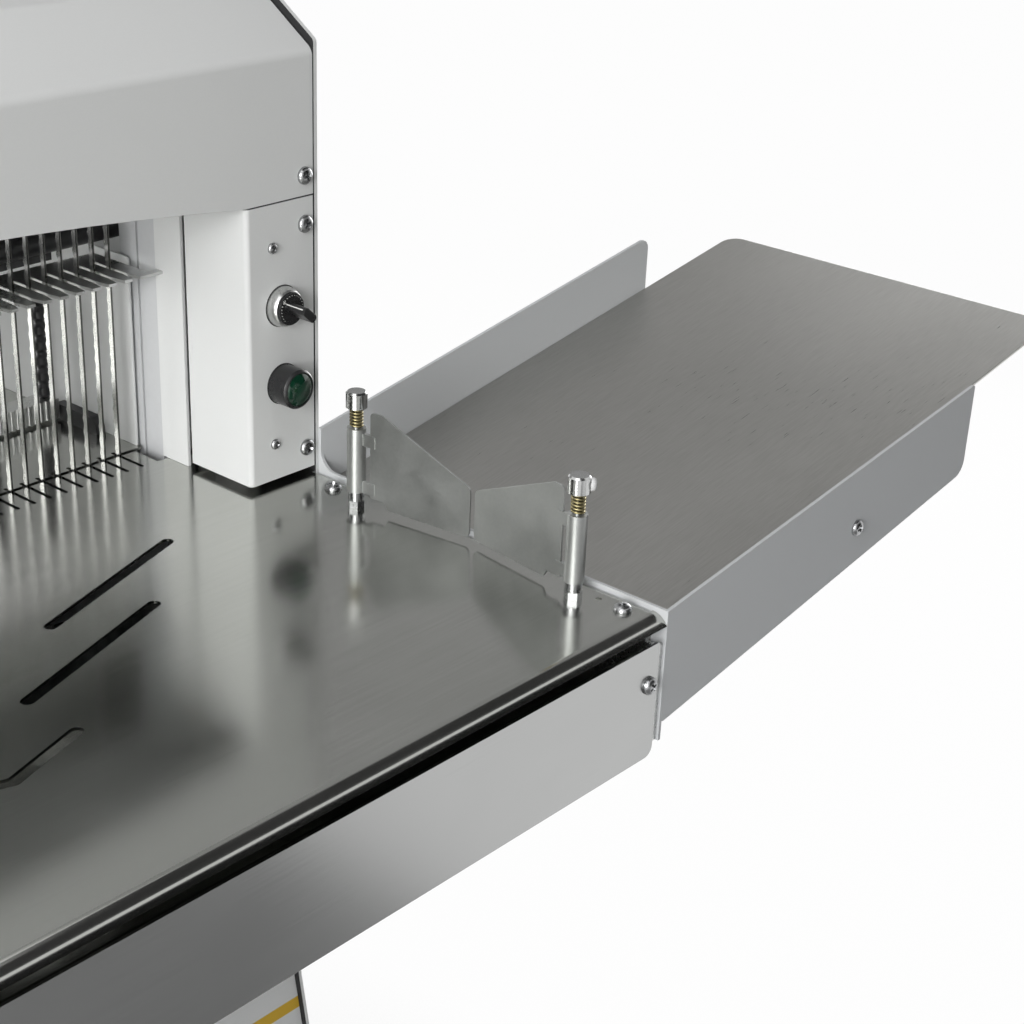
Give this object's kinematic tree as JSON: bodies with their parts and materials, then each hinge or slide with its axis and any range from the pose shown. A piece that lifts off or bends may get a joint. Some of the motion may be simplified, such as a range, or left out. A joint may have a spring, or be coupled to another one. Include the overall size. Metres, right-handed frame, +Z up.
{
  "type": "bread slicer machine",
  "caption": "Floor-standing bread slicer: reciprocating scalloped blades between columns, pusher infeed, slotted outfeed table, sprung bag flaps, inclined bag tray and crumb drawer.",
  "frame": {"origin": "on the floor, under the middle of the whole machine's bounding box", "axes": "+X along the row of blades towards the bag tray, +Y from the outfeed to the infeed, +Z up"},
  "size_m": [1.2646, 0.795, 1.2553],
  "materials": {
    "white_paint": "satin powder coat",
    "tray_paint": "satin powder coat",
    "stainless": "fine brushed, slightly worn",
    "satin_steel": "satin",
    "dull_steel": "dull cold-rolled",
    "plate_steel": "brushed along its length",
    "blade_steel": "ground bright",
    "bright_steel": "bright plated",
    "machine_grey": "hammer-grey enamel",
    "motor_paint": "blue-grey enamel",
    "cast_iron": "machined casting",
    "bronze": "sintered bronze",
    "spring_wire": "yellow passivated wire",
    "black_plastic": "satin black",
    "black_gloss": "moulded black",
    "green_lens": "dark green lens",
    "belt_rubber": "moulded rubber",
    "foot_rubber": "moulded rubber"
  },
  "bodies": {
    "machine": {"left_side_plate": "white_paint", "right_side_plate": "white_paint", "hood": "white_paint", "left_column": "white_paint", "right_column": "white_paint", "guide_strips": "white_paint", "outfeed_table": "stainless", "apron": "satin_steel", "table_brackets": "satin_steel", "base_front_panel": "white_paint", "base_rear_panel": "white_paint", "base_floor": "machine_grey", "cross_tubes": "machine_grey", "levelling_feet": "foot_rubber", "upper_comb": "stainless", "upper_tie_bar": "black_plastic", "infeed_bed": "stainless", "infeed_walls": "white_paint", "bed_side_guides": "black_plastic", "guide_rods": "bright_steel", "rod_brackets": "cast_iron", "crank_bearings": "cast_iron", "motor": "motor_paint", "drive_belt": "belt_rubber", "crumb_chute": "stainless", "drawer_runners": "satin_steel", "bag_tray": "tray_paint", "bag_plate": "plate_steel", "flap_posts": "bright_steel", "post_nuts": "bright_steel", "post_collars": "bright_steel", "rear_spring": "spring_wire", "front_spring": "spring_wire", "knob_bezel": "satin_steel", "start_bezel": "black_gloss", "control_blocks": "black_plastic", "cover_screws": "bright_steel", "small_screws": "bright_steel", "pusher_rails": "bright_steel", "feed_motor": "motor_paint"},
    "front_frame": {"front_blade_frame": "satin_steel", "front_blades": "blade_steel", "front_bushes": "bronze"},
    "rear_frame": {"rear_blade_frame": "satin_steel", "rear_blades": "blade_steel", "rear_bushes": "bronze"},
    "crank": {"crankshaft": "bright_steel", "crank_pulley": "cast_iron"},
    "front_rods": {"front_con_rods": "cast_iron"},
    "rear_rods": {"rear_con_rods": "cast_iron"},
    "motor_shaft": {"motor_pulley": "cast_iron"},
    "pusher": {"pusher_bar": "satin_steel", "pusher_tines": "black_plastic", "pusher_carriage": "machine_grey"},
    "feed_spindle": {"feed_screw": "bright_steel"},
    "start": {"start_button": "green_lens"},
    "knob": {"speed_knob": "black_gloss"},
    "rear_flap": {"rear_flap": "dull_steel"},
    "front_flap": {"front_flap": "dull_steel"},
    "drawer": {"crumb_drawer": "stainless"}
  },
  "joints": [
    {"name": "front_frame_slide", "type": "slide", "parent": "machine", "child": "front_frame", "axis": [0, 0, 1], "range_m": [-0.018, 0.018]},
    {"name": "rear_frame_slide", "type": "slide", "parent": "machine", "child": "rear_frame", "axis": [0, 0, 1], "range_m": [-0.018, 0.018]},
    {"name": "crank_spin", "type": "hinge", "parent": "machine", "child": "crank", "pos_m": [-0.24125, 0.0325, 0.43], "axis": [1, 0, 0], "continuous": true},
    {"name": "front_rod_swing", "type": "hinge", "parent": "crank", "child": "front_rods", "pos_m": [-0.24125, 0.0145, 0.43], "axis": [1, 0, 0], "continuous": true},
    {"name": "rear_rod_swing", "type": "hinge", "parent": "crank", "child": "rear_rods", "pos_m": [-0.24125, 0.0505, 0.43], "axis": [1, 0, 0], "continuous": true},
    {"name": "motor_spin", "type": "hinge", "parent": "machine", "child": "motor_shaft", "pos_m": [-0.24125, 0.1675, 0.165], "axis": [1, 0, 0], "continuous": true},
    {"name": "pusher_slide", "type": "slide", "parent": "machine", "child": "pusher", "axis": [0, 1, 0], "range_m": [-0.065, 0.125]},
    {"name": "feed_screw_spin", "type": "hinge", "parent": "machine", "child": "feed_spindle", "pos_m": [-0.24125, 0.2175, 0.882], "axis": [0, 1, 0], "range_deg": [-1180, 2260]},
    {"name": "start_press", "type": "slide", "parent": "machine", "child": "start", "axis": [0, 1, 0], "range_m": [0, 0.004], "stiffness_N_per_m": 400, "springref_m": -0.002},
    {"name": "speed_turn", "type": "hinge", "parent": "machine", "child": "knob", "pos_m": [0.11675, -0.0825, 1.048], "axis": [0, 1, 0], "range_deg": [-135, 135]},
    {"name": "rear_flap_swing", "type": "hinge", "parent": "machine", "child": "rear_flap", "pos_m": [0.12525, -0.1445, 0.92], "axis": [0, 0, 1], "range_deg": [0, 65], "stiffness_Nm_per_rad": 0.25, "springref_deg": -11.46},
    {"name": "front_flap_swing", "type": "hinge", "parent": "machine", "child": "front_flap", "pos_m": [0.12525, -0.3355, 0.92], "axis": [0, 0, 1], "range_deg": [-65, 0], "stiffness_Nm_per_rad": 0.25, "springref_deg": 11.46},
    {"name": "drawer_slide", "type": "slide", "parent": "machine", "child": "drawer", "axis": [0, -1, 0], "range_m": [0, 0.19]}
  ],
  "couplings": [
    {"joint": "rear_frame_slide", "follows": "front_frame_slide", "ratio": -1},
    {"joint": "front_rod_swing", "follows": "crank_spin", "ratio": -1},
    {"joint": "rear_rod_swing", "follows": "crank_spin", "ratio": -1},
    {"joint": "motor_spin", "follows": "crank_spin", "ratio": 2.5},
    {"joint": "feed_screw_spin", "follows": "pusher_slide", "rad_per_m": 314.16}
  ]
}
